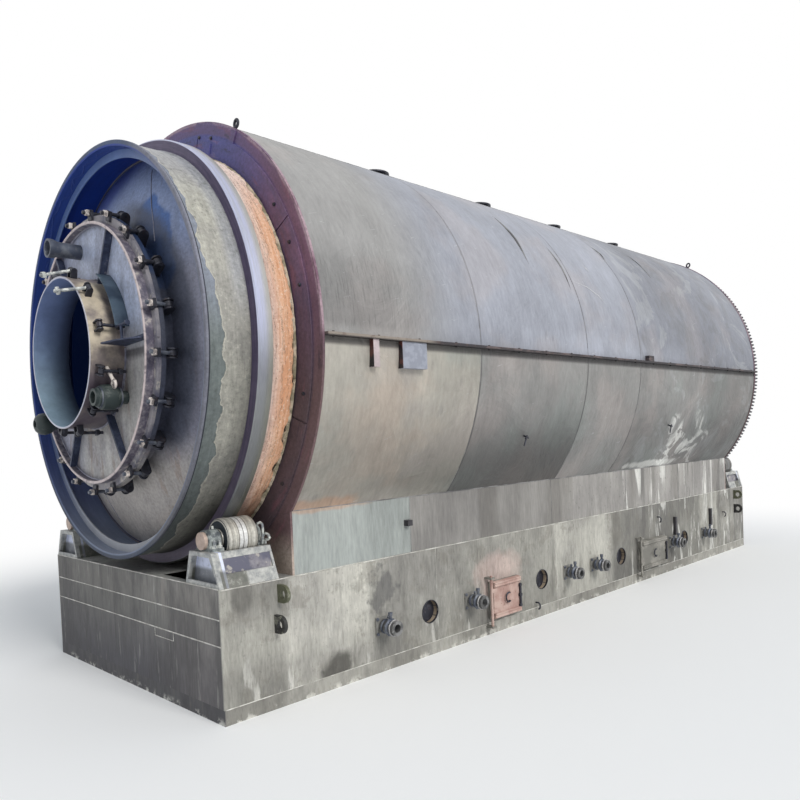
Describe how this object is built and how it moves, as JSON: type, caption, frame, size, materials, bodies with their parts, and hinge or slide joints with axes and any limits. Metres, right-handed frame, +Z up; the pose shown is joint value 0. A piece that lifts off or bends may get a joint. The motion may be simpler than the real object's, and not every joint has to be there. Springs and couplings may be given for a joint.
{
  "type": "rotary pyrolysis reactor",
  "caption": "Horizontal drum reactor for waste plastic: bolted charging door, riding rings, rollers and girth gear in a fired steel casing on a box base.",
  "frame": {"origin": "centre of the base's underside, on the ground", "axes": "-Y towards the charging door, +Y along the drum axis to the gear end, +Z up"},
  "size_m": [3.2458, 8.2715, 3.925],
  "materials": {
    "skirt_steel": "matte",
    "base_steel": "matte",
    "wall_steel": "matte",
    "firebrick": "matte",
    "fibre_lining": "matte",
    "primer_plate": "matte",
    "casing_steel": "satin",
    "dark_iron": "satin",
    "drum_steel": "satin",
    "head_steel": "satin",
    "bright_steel": "satin",
    "orange_fibre": "matte",
    "door_steel": "matte",
    "pink_primer": "matte"
  },
  "bodies": {
    "furnace": {"base_frame": "skirt_steel", "end_walls": "base_steel", "right_wall": "base_steel", "left_wall": "base_steel", "upper_walls": "wall_steel", "decks": "base_steel", "hearth": "firebrick", "side_linings": "firebrick", "casing_lining": "fibre_lining", "end_linings": "firebrick", "end_plates": "primer_plate", "cover_rings": "primer_plate", "casing_crown": "casing_steel", "casing_sides": "casing_steel", "split_flanges": "dark_iron", "flue_stubs": "dark_iron", "lifting_eyes": "dark_iron", "tie_lugs": "dark_iron", "pedestals": "base_steel", "bearings": "dark_iron", "burners": "dark_iron", "fire_door_frames": "wall_steel", "left_fire_doors": "door_steel", "flank_fittings": "dark_iron"},
    "drum": {"drum_shell": "drum_steel", "drum_rim": "drum_steel", "drum_head": "head_steel", "rear_head": "head_steel", "gas_outlet": "head_steel", "riding_rings": "bright_steel", "drum_wraps": "orange_fibre", "girth_gear": "dark_iron", "door_flange": "head_steel", "door_cover": "head_steel", "door_clamps": "dark_iron", "feed_neck": "head_steel", "neck_ribs": "head_steel", "neck_bolts": "dark_iron", "pipe_stubs": "dark_iron"},
    "front_right_roller": {"front_right_roller": "bright_steel"},
    "front_left_roller": {"front_left_roller": "bright_steel"},
    "rear_right_roller": {"rear_right_roller": "bright_steel"},
    "rear_left_roller": {"rear_left_roller": "bright_steel"},
    "front_fire_door": {"front_fire_door": "pink_primer"},
    "rear_fire_door": {"rear_fire_door": "door_steel"}
  },
  "joints": [
    {"name": "drum_spin", "type": "hinge", "parent": "furnace", "child": "drum", "pos_m": [0, 0, 2.192], "axis": [0, 1, 0], "continuous": true},
    {"name": "front_right_roller_spin", "type": "hinge", "parent": "furnace", "child": "front_right_roller", "pos_m": [0.987, -3.544, 1.0252], "axis": [0, 1, 0], "continuous": true},
    {"name": "front_left_roller_spin", "type": "hinge", "parent": "furnace", "child": "front_left_roller", "pos_m": [-0.987, -3.544, 1.0252], "axis": [0, 1, 0], "continuous": true},
    {"name": "rear_right_roller_spin", "type": "hinge", "parent": "furnace", "child": "rear_right_roller", "pos_m": [1.01, 3.544, 1.045], "axis": [0, 1, 0], "continuous": true},
    {"name": "rear_left_roller_spin", "type": "hinge", "parent": "furnace", "child": "rear_left_roller", "pos_m": [-1.01, 3.544, 1.045], "axis": [0, 1, 0], "continuous": true},
    {"name": "front_fire_door_hinge", "type": "hinge", "parent": "furnace", "child": "front_fire_door", "pos_m": [1.25, -1.455, 0.27], "axis": [0, 0, -1], "range_deg": [0, 110]},
    {"name": "rear_fire_door_hinge", "type": "hinge", "parent": "furnace", "child": "rear_fire_door", "pos_m": [1.25, 0.96, 0.27], "axis": [0, 0, -1], "range_deg": [0, 110]}
  ],
  "couplings": [
    {"joint": "front_right_roller_spin", "follows": "drum_spin", "ratio": -11.733},
    {"joint": "front_left_roller_spin", "follows": "drum_spin", "ratio": -11.733},
    {"joint": "rear_right_roller_spin", "follows": "drum_spin", "ratio": -11.733},
    {"joint": "rear_left_roller_spin", "follows": "drum_spin", "ratio": -11.733}
  ]
}
